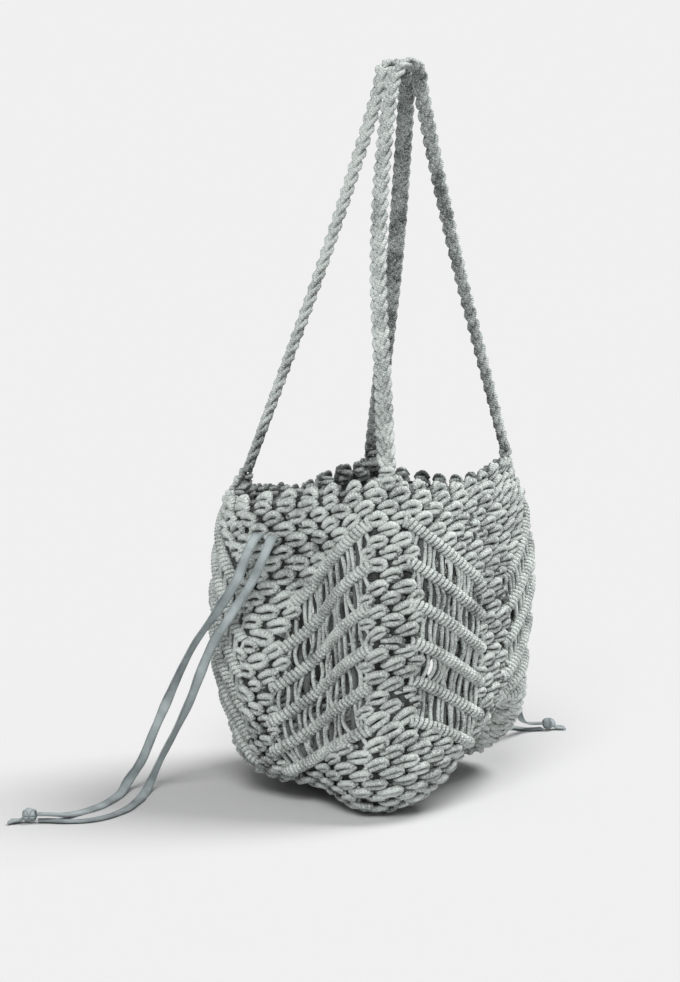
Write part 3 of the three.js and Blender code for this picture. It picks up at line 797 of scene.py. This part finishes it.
def addBaseKnots(parts, inside=False):
    # The middle of the base: straight rows of the same knots.
    step = 2 if inside else 1
    line = np.array(knotShape["line"])[::step] * (1, 1, -1 if inside else 1)
    radius = np.array(knotShape["radius"])[::step]
    rows = []
    for row in range(-14, 15):
        x = np.arange(-6, 7) * knotShape["pitch"] + (knotShape["pitch"] / 2 if row % 2 else 0)
        rows.append(np.stack([x, np.full(len(x), row * pattern["rowStep"])], axis=1))
    places = np.concatenate(rows)
    _, footReach = onBase(places[:, 0] + 0.01, places[:, 1], 0)
    places = places[np.hypot(places[:, 0], places[:, 1]) < footReach * (1 - pattern["roundBase"]) - 2]
    x = places[:, :1] - line[:, 0]
    y = places[:, 1:] + line[:, 1]
    flatOut = np.minimum(line[:, 2], 1.3)    # within about 1 mm of the CAD model's underside
    paths, _ = onBase(x, y, np.broadcast_to(flatOut, x.shape))
    facing = np.broadcast_to(np.array((0.0, 0.0, 1.0 if inside else -1.0)), paths.shape)
    addCords(parts, paths, facing, radius, 5 if inside else knotShape["sides"])


addBaseKnots(outerKnots)
addBaseKnots(innerKnots, inside=True)

# Small points of the rim: a smaller knot with a short loop on it. Each strap stands on a broad point of
# five knots.
rimPoints = {
    "smallKnot": (11.6, 0.80),    # mm below the rim line, size
    # knots from the strap, mm below the rim line, size
    "strapKnots": [(0.0, 3.6, 0.82), (-0.36, 10.6, 0.70), (0.36, 10.6, 0.70), (-0.70, 14.5, 0.66),
                   (0.70, 14.5, 0.66)],
    "loopFoot": 11.4,
    "loopTop": 6.6,
    "loopHalf": 0.26,    # in knots
    "radius": 2.1,
    "asideNoise": 0.03,
    "tallNoise": 0.10,
    "outNoise": 0.5,
}


def addRimPoints(parts, inside=False):
    centres = np.arange(body["knotsAround"]) + 0.5
    centres = centres[sidewaysOf(centres) > pattern["columnHalf"]]
    below, size = rimPoints["smallKnot"]
    small = np.stack([centres, rimDrop(centres) + below, centres * 0 + size], axis=1)
    atStraps = np.array([(strap + aside, rimDrop(strap) + below, size)
                         for strap in range(0, body["knotsAround"], body["knotsPerSide"])
                         for aside, below, size in rimPoints["strapKnots"]])
    addKnots(parts, np.concatenate([small, atStraps]), inside)
    if inside:
        return
    share = np.linspace(-1, 1, 9)
    each = (len(centres), 1)
    knot = centres[:, None] + share * rimPoints["loopHalf"] + rng.normal(0, rimPoints["asideNoise"], each)
    tall = rng.normal(1, rimPoints["tallNoise"], each) * (1 - np.abs(share) ** 2.4)
    down = rimDrop(knot) + between(rimPoints["loopFoot"], rimPoints["loopTop"], tall)
    out = 0.6 + rng.normal(0, rimPoints["outNoise"], each) - 0.8 * share
    addCords(parts, onWall(knot, down, out), outwards(knot, down), rimPoints["radius"], 6)


addRimPoints(innerKnots, inside=True)
addRimPoints(outerKnots)

# Cords that run down the edges of the knot columns, beside the ladders, from row to row of knots.
edgeCords = {
    "rows": (1, 27),
    "place": 0.84,       # knots from the middle of the column
    "wiggle": 0.10,
    "outs": (0.8, -1.8),
    "outWiggle": 0.5,
    "radius": 2.0,
}


def addEdgeCords(parts):
    centres = np.arange(0, body["knotsAround"], body["knotsPerEighth"], dtype=float)
    rows = np.arange(*edgeCords["rows"], 0.5)
    swing = np.cos(rows * math.pi)
    for side in (-1, 1):
        for out in edgeCords["outs"]:
            knot = centres[:, None] + side * (edgeCords["place"] - swing * edgeCords["wiggle"]) + rows * 0
            down = rowDown(rows, knot)
            paths = onWall(knot, down, np.full(knot.shape, out) + swing * edgeCords["outWiggle"])
            addCords(parts, paths, outwards(knot, down), edgeCords["radius"], 5)


addEdgeCords(outerKnots)
knotPiece = outerKnots.build("body_knots", bodyCord)
innerPiece = innerKnots.build("body_inner_knots", innerCord)
print("knots done")

# Slanted bars: a core with a cord hitched round it, turn after turn.
bars = {
    "coreRadius": 3.0,
    "wrapRadius": 3.2,
    "cord": 2.0,
    "step": 3.7,          # mm from one turn to the next
    "out": 2.2,
    "from": 0.64,         # knots from the strap
    "to": 4.28,
    "turnSteps": 10,
    "sinkEnds": 1.4,      # mm that the ends lie deeper than the middle
    "bump": 0.22,         # the first turns at the high end stand out as a round bump
    "bumpAt": 4.0,
    "bumpHalf": 3.5,
}


def addBars(parts):
    sideways = np.linspace(bars["from"], bars["to"], 60)
    for eighth in range(8):
        for bar in range(pattern["barCount"]):
            knot = fromEighth(eighth, sideways)
            down = barTop(bar, sideways) + pattern["barWidth"] / 2
            lift = bars["out"] - bars["sinkEnds"] * smoothStep(np.abs(sideways - 2.5), 1.3, 1.75)
            middle = onWall(knot, down, lift)
            facing = outwards(knot, down)
            addCords(parts, middle[None, ::3], facing[None, ::3], bars["coreRadius"], 6)
            length = lengthAlong(middle)
            turns = int(round(length[-1] / bars["step"]))
            at = np.linspace(0, length[-1], turns * bars["turnSteps"] + 1)
            core = pointsAt(middle, length, at)
            up = unit(pointsAt(facing, length, at))
            ahead = tangents(core)
            side = unit(np.cross(ahead, up))
            turn = np.arange(len(at)) / bars["turnSteps"] * 2 * math.pi * (-1 if eighth % 2 == 1 else 1)
            around = side * np.cos(turn)[:, None] + up * np.sin(turn)[:, None]
            swell = 1 + bars["bump"] * bell((at - bars["bumpAt"]) / bars["bumpHalf"])
            path = core + around * (bars["wrapRadius"] * swell)[:, None]
            addCords(parts, path[None], around[None], bars["cord"], 5)


barParts = MeshParts()
addBars(barParts)
barPiece = barParts.build("body_bars", bodyCord)

# Bare cords between two bars.
ladders = {
    "pairs": 7,
    "radius": 1.75,
    "behindThicker": 0.9,
    "apart": 0.10,       # knots from the middle of a pair to each of its two cords
    "out": 0.8,
    "behind": -2.2,      # how deep the single cords between the pairs lie
    "steps": 7,
    "inset": 0.12,       # knots from the edge of a ladder to its first pair
    "overlap": 2.5,      # mm that each cord runs on behind the bars
    "slant": 0.14,
    "behindLoose": 0.3,  # how loose the cords behind are, as a share of the pairs
    "startNoise": 0.02,
    "endNoise": 0.06,
    "bow": 0.02,
    "bowNoise": 0.08,
    "outNoise": 1.1,
}


def addLadders(parts, backs):
    # parts takes the pairs in front, backs the single cords between them.
    share = np.linspace(0, 1, ladders["steps"])
    arch = np.sin(share * math.pi)
    ladderFrom, ladderTo = pattern["ladderFrom"], pattern["ladderTo"]
    for eighth in range(8):
        for bar in range(pattern["barCount"] - 1):
            centres = np.linspace(ladderFrom + ladders["inset"], ladderTo - ladders["inset"],
                                  ladders["pairs"])
            half = (centres[1] - centres[0]) / 2
            behind = np.append(centres - half, centres[-1] + half)
            start = np.concatenate([centres - ladders["apart"], centres + ladders["apart"], behind])
            pairs = 2 * len(centres)
            loose = np.repeat([1.0, ladders["behindLoose"]], [pairs, len(behind)])
            start = start + rng.normal(0, ladders["startNoise"], len(start))
            end = start - ladders["slant"] + rng.normal(0, ladders["endNoise"], len(start)) * loose
            end = np.clip(end, ladderFrom - 0.15, ladderTo + 0.15)
            bow = rng.normal(ladders["bow"], ladders["bowNoise"], (len(start), 1)) * loose[:, None]
            sideways = between(start[:, None], end[:, None], share) + bow * arch
            top = barTop(bar, start)[:, None] + pattern["barWidth"] - ladders["overlap"]
            foot = barTop(bar + 1, end)[:, None] + ladders["overlap"]
            down = between(top, foot, share)
            depth = np.repeat([ladders["out"], ladders["behind"]], [pairs, len(behind)])[:, None]
            out = depth + rng.normal(0, ladders["outNoise"], (len(start), 1)) * arch
            knot = fromEighth(eighth, sideways)
            radius = ladders["radius"] + (1 - loose[:, None]) * ladders["behindThicker"]
            paths = onWall(knot, down, out)
            facing = outwards(knot, down)
            addCords(parts, paths[:pairs], facing[:pairs], radius[:pairs], 6)
            addCords(backs, paths[pairs:], facing[pairs:], radius[pairs:], 6)


ladderParts = MeshParts()
backParts = MeshParts()
addLadders(ladderParts, backParts)
ladderPiece = ladderParts.build("body_ladders", bodyCord)
backPiece = backParts.build("body_ladder_backs", shadedCord)
print("bars and ladders done")

# The thin layer of crossing cords behind the knots, painted near black as the shade in the gaps
# between them. It is open at the ladders.
layer = {
    "edge": 16.0,            # mm below the rim line
    "second": 22.0,
    "aboveBars": (0.3, 0.65),
    "belowBars": (0.1, 0.2, 0.32, 0.44, 0.58, 0.72, 0.86, 1.0),
    "baseShare": 0.97,       # how far in over the base it goes
    "inBar": 2.0,            # mm from the edge of a bar
    "outer": -0.2,           # where its two sides lie, out from the middle of the wall
    "inner": -1.2,
}


def layerSpans(sideways):
    # First and last line of each stretch between two ladders, where the layer goes on beside the gaps.
    middle = (sideways[:-1] + sideways[1:]) / 2
    solid = (middle < pattern["ladderFrom"]) | (middle > pattern["ladderTo"])
    changes = np.flatnonzero(np.diff(np.concatenate([[0], solid.astype(int), [0]])))
    return list(zip(changes[::2], changes[1::2]))


def addLayer(parts):
    ladderFrom, ladderTo = pattern["ladderFrom"], pattern["ladderTo"]
    width = body["knotsPerEighth"]
    eighthLines = np.concatenate([np.linspace(0, ladderFrom, 4), np.linspace(ladderFrom, ladderTo, 9)[1:],
                                  np.linspace(ladderTo, width, 4)[1:]])
    lines = []
    for eighth in range(8):
        these = eighthLines if eighth % 2 == 0 else width - eighthLines[::-1]
        lines.append(eighth * width + these[:-1])
    knot = np.append(np.concatenate(lines), body["knotsAround"])
    sideways = sidewaysOf(knot)
    rows = [rimDrop(knot) + layer["edge"], rimDrop(knot) + layer["second"]]
    rows += [between(rows[1], barTop(0, sideways), share) for share in layer["aboveBars"]]
    windows = []
    for bar in range(pattern["barCount"]):
        top = barTop(bar, sideways)
        rows += [top + layer["inBar"], top + pattern["barWidth"] - layer["inBar"]]
        windows.append(len(rows) - 1)
    windows.pop()    # no ladder below the last bar
    baseMost = wallEndAt(knot) + body["rimReach"] * layer["baseShare"]
    lastBar = rows[-1]
    rows += [between(lastBar, baseMost, share) for share in layer["belowBars"]]
    rows = np.array(rows)
    marks = np.stack([rows, np.broadcast_to(knot * 3, rows.shape)], axis=-1)
    for out, turned in ((layer["outer"], False), (layer["inner"], True)):
        points = onWall(knot, rows, np.full(rows.shape, out))
        for r in range(len(rows) - 1):
            for first, last in layerSpans(sideways) if r in windows else [(0, len(knot) - 1)]:
                patch = points[None, r:r + 2, first:last + 1]
                itsMarks = marks[None, r:r + 2, first:last + 1]
                if turned:
                    patch, itsMarks = patch[:, ::-1], itsMarks[:, ::-1]
                parts.addGrid(patch, itsMarks, closedAcross=False, capped=False)


layerParts = MeshParts()
addLayer(layerParts)
layerPiece = layerParts.build("body_layer", shadePaintedCord)

for piece in (knotPiece, innerPiece, barPiece, ladderPiece, backPiece, layerPiece):
    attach(piece, "root")
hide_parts("bag_body")
print("body done")

# Straps: a flat plait of three doubled strands along the CAD model's own line.
straps = {
    "width": 17.0,
    "thickness": 9.0,
    "gap": 2.0,
    "hangRadius": 15.0,
    "swaySkew": 1.3,
    "bendLean": 0.3,
    "clearance": 0.3,
    "cord": 2.15,
    "apart": 1.75,       # from the middle of a strand to each of its two cords
    "period": 30.9,      # three crossings
    "inset": 0.8,        # mm that the strands stay inside the width
    "step": 2.6,
    "both": {
        "strap_front": {"side": -1, "left": 0, "right": 10, "leftSway": (-0.75, 0.3),
                        "rightSway": (-0.25, 0.15), "leftTurn": 4, "rightTurn": 1.2},
        "strap_back": {"side": 1, "left": 30, "right": 20, "leftSway": (0.3, -0.1),
                       "rightSway": (0.3, -0.15), "leftTurn": 0.5, "rightTurn": 0.5},
    },
}


def strapFoot(knot):
    knot = np.array(float(knot))
    top = rimDrop(knot)
    foot = outerPoint(knot, top) - outwards(knot, top) * body["wall"] / 2
    foot[2] = baseMiddle[2] + body["height"] - top + straps["clearance"]
    return foot


def strapLine(strap):
    radius = straps["hangRadius"]
    topY = strap["side"] * (straps["width"] + straps["gap"]) / 2
    bendTop = straps["thickness"] / 2 - radius

    def leg(foot, end, sway):
        points = []
        for share in (0, 0.25, 0.5, 0.75, 1):
            point = between(foot, np.array((end * radius, topY, bendTop)), share)
            much = math.sin(math.pi * share ** straps["swaySkew"]) + straps["bendLean"] * share ** 4
            points.append(point + np.array((*sway, 0)) * much * radius)
        return points

    left = leg(strapFoot(strap["left"]), -1, strap["leftSway"])
    right = leg(strapFoot(strap["right"]), 1, strap["rightSway"])
    bend = []
    for turn in (150, 120, 90, 60, 30):
        angle = math.radians(turn)
        point = np.array((radius * math.cos(angle), topY, bendTop + radius * math.sin(angle)))
        sway = strap["leftSway"] if turn > 90 else strap["rightSway"]
        bend.append(point + np.array((*sway, 0)) * (1 - math.sin(angle)) * straps["bendLean"] * radius)
    return smoothCurve(left + bend + right[::-1], straps["step"])


def addStrap(name, strap):
    line = strapLine(strap)
    share = np.linspace(0, 1, len(line))
    ahead = tangents(line)
    ahead[0] = (0, 0, 1)
    ahead[-1] = (0, 0, -1)
    nearFoot = np.abs(2 * share - 1) ** np.where(share < 0.5, strap["leftTurn"], strap["rightTurn"])
    turn = nearFoot * math.pi / 4 * np.sign(0.5 - share) * strap["side"]
    flat = np.stack([np.sin(turn), np.cos(turn), 0 * turn], axis=1)
    flat = unit(flat - ahead * np.sum(flat * ahead, axis=1, keepdims=True))
    thick = unit(np.cross(ahead, flat))
    along = lengthAlong(line)
    parts = MeshParts()
    reach = straps["width"] / 2 - straps["cord"] - straps["apart"] - straps["inset"]
    depth = straps["thickness"] / 2 - straps["cord"]
    for strand in range(3):
        phase = along / straps["period"] * 2 * math.pi + strand * 2 * math.pi / 3
        middle = line + flat * (np.sin(phase) * reach)[:, None]
        middle = middle + thick * (np.sin(2 * phase) * depth)[:, None]
        beside = unit(np.cross(tangents(middle), thick))
        for side in (-1, 1):
            path = middle + beside * side * straps["apart"]
            addCords(parts, path[None], thick[None], straps["cord"], 8)
    piece = parts.build(name + "_plait", strapCord)
    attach(piece, "root")
    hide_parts(name)


for name, strap in straps["both"].items():
    addStrap(name, strap)
print("straps done")

# Pale floor that meets a background of the same tone.
studio = {
    "floorHeight": -0.586,
    "size": 60.0,
    "colour": (0.6436, 0.6436, 0.6436, 1),
    "world": 0.27,          # light from all round
    "background": 0.871,    # tone of the background
    "roughness": 0.86,
    "speckle": 0.02,
    "speckleScale": 400.0,
}


def addStudio():
    bpy.ops.object.select_all(action="DESELECT")
    bpy.ops.mesh.primitive_plane_add(size=studio["size"], location=(0, 0, studio["floorHeight"]))
    floor = bpy.context.object
    floor.name = "floor"
    material, shader, maker = newMaterial("paleFloor")
    place = maker.node("ShaderNodeTexCoord", {"output": "Object"})
    speckle = maker.node("ShaderNodeTexNoise", {"output": "Fac"}, Vector=place,
                         Scale=studio["speckleScale"], Detail=2)
    join(shader, studio["roughness"] + (speckle - 0.5) * studio["speckle"], "Roughness")
    shader.inputs["Base Color"].default_value = studio["colour"]
    shader.inputs["Specular IOR Level"].default_value = 0
    floor.data.materials.append(material)
    world = bpy.data.worlds.new("studioLight")
    world.use_nodes = True
    shader = world.node_tree.nodes["Background"]
    maker = Wire(world.node_tree, None)
    seen = maker.node("ShaderNodeLightPath", {"output": "Is Camera Ray"})
    shader.inputs["Color"].default_value = (1, 1, 1, 1)
    join(shader, studio["world"] + seen * (studio["background"] - studio["world"]), "Strength")
    bpy.context.scene.world = world
    bpy.context.scene.view_settings.view_transform = "Standard"


# Two broad soft lights: one from the right of the view, a weaker one from behind the camera. Degrees round
# from +X to where the light comes from, degrees above the floor, spread in degrees, strength.
lights = {
    "topLight": {"turn": -28.0, "height": 56.0, "spread": 26.0, "strength": 2.5},
    "frontLight": {"turn": -144.0, "height": 46.0, "spread": 28.0, "strength": 1.85},
}


def addLight(name, light):
    # A sun lamp shines the same from wherever it stands.
    tilt = (math.radians(90 - light["height"]), 0, math.radians(light["turn"] + 90))
    bpy.ops.object.light_add(type="SUN", location=(-2, -0.5, 3), rotation=tilt)
    lamp = bpy.context.object
    lamp.name = name
    lamp.data.angle = math.radians(light["spread"])
    lamp.data.energy = light["strength"]


addStudio()
for name, light in lights.items():
    addLight(name, light)
print("studio done")
